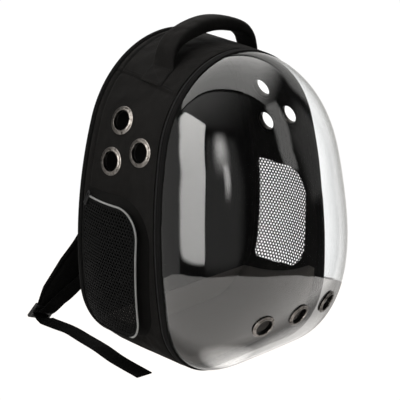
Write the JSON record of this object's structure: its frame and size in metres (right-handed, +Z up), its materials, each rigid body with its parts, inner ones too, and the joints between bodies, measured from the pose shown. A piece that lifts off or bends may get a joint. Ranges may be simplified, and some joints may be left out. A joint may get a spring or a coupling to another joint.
{
  "type": "pet carrier backpack",
  "caption": "Soft black backpack for carrying a small pet, with a clear hard dome in front, metal-ringed vents, mesh side windows, a floor mat, a carry handle and padded shoulder straps",
  "frame": {"origin": "on the floor under the body, midway between its side walls and on the flat of the bottom panel", "axes": "+Z up, -Y the way the clear dome faces, +Y towards the wearer's back, +X to the right seen from the dome"},
  "size_m": [0.3624, 0.4025, 0.4585],
  "materials": {
    "nylon": "matte black woven nylon",
    "edge_tape": "black ribbed tape",
    "padding": "black padded cloth",
    "mesh_cloth": "black open mesh",
    "reflective": "grey reflective piping",
    "ring_metal": "dark nickel plate",
    "black_plastic": "black moulded plastic",
    "clear_dome": "clear, polished",
    "mat_cloth": "grey plush"
  },
  "bodies": {
    "root": {"top_panel": "nylon", "bottom_panel": "nylon", "side_panel_right": "nylon", "side_panel_left": "nylon", "dome_binding": "edge_tape", "door_zip": "edge_tape", "door_zip_slider": "black_plastic", "back_piping": "edge_tape", "back_panel": "padding", "dome": "clear_dome", "dome_grommet_left": "ring_metal", "dome_grommet_middle": "ring_metal", "dome_grommet_right": "ring_metal", "eyelet_right_top": "ring_metal", "eyelet_right_back": "ring_metal", "eyelet_right_front": "ring_metal", "eyelet_left_top": "ring_metal", "eyelet_left_back": "ring_metal", "eyelet_left_front": "ring_metal", "pocket_gusset_right": "nylon", "pocket_mesh_right": "mesh_cloth", "pocket_piping_right": "reflective", "pocket_zip_pull_right": "black_plastic", "pocket_gusset_left": "nylon", "pocket_mesh_left": "mesh_cloth", "pocket_piping_left": "reflective", "pocket_zip_pull_left": "black_plastic", "floor_mat": "mat_cloth", "handle": "padding", "shoulder_strap_right": "padding", "strap_buckle_right": "black_plastic", "strap_webbing_right": "edge_tape", "shoulder_strap_left": "padding", "strap_buckle_left": "black_plastic", "strap_webbing_left": "edge_tape"}
  },
  "joints": []
}
